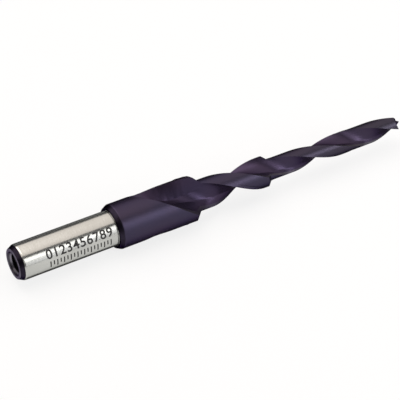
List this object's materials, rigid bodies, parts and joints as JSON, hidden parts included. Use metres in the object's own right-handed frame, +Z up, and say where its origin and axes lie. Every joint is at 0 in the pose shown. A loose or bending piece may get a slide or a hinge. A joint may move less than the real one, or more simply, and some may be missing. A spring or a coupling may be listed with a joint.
{
  "type": "step drill bit",
  "caption": "Step drill bit: a plain round shank with a threaded hole in its end, a collar, and two spiral-fluted cutting steps that end in a brad point.",
  "frame": {"origin": "on the drill's axis, in the plane where the shank meets the back face of the collar", "axes": "+X along the axis toward the cutting point, +Z up with the drill lying level on its side"},
  "size_m": [0.0982, 0.0102, 0.0104],
  "materials": {
    "steel": "satin"
  },
  "bodies": {
    "root": {"step_drill_bit": "steel"}
  },
  "joints": []
}
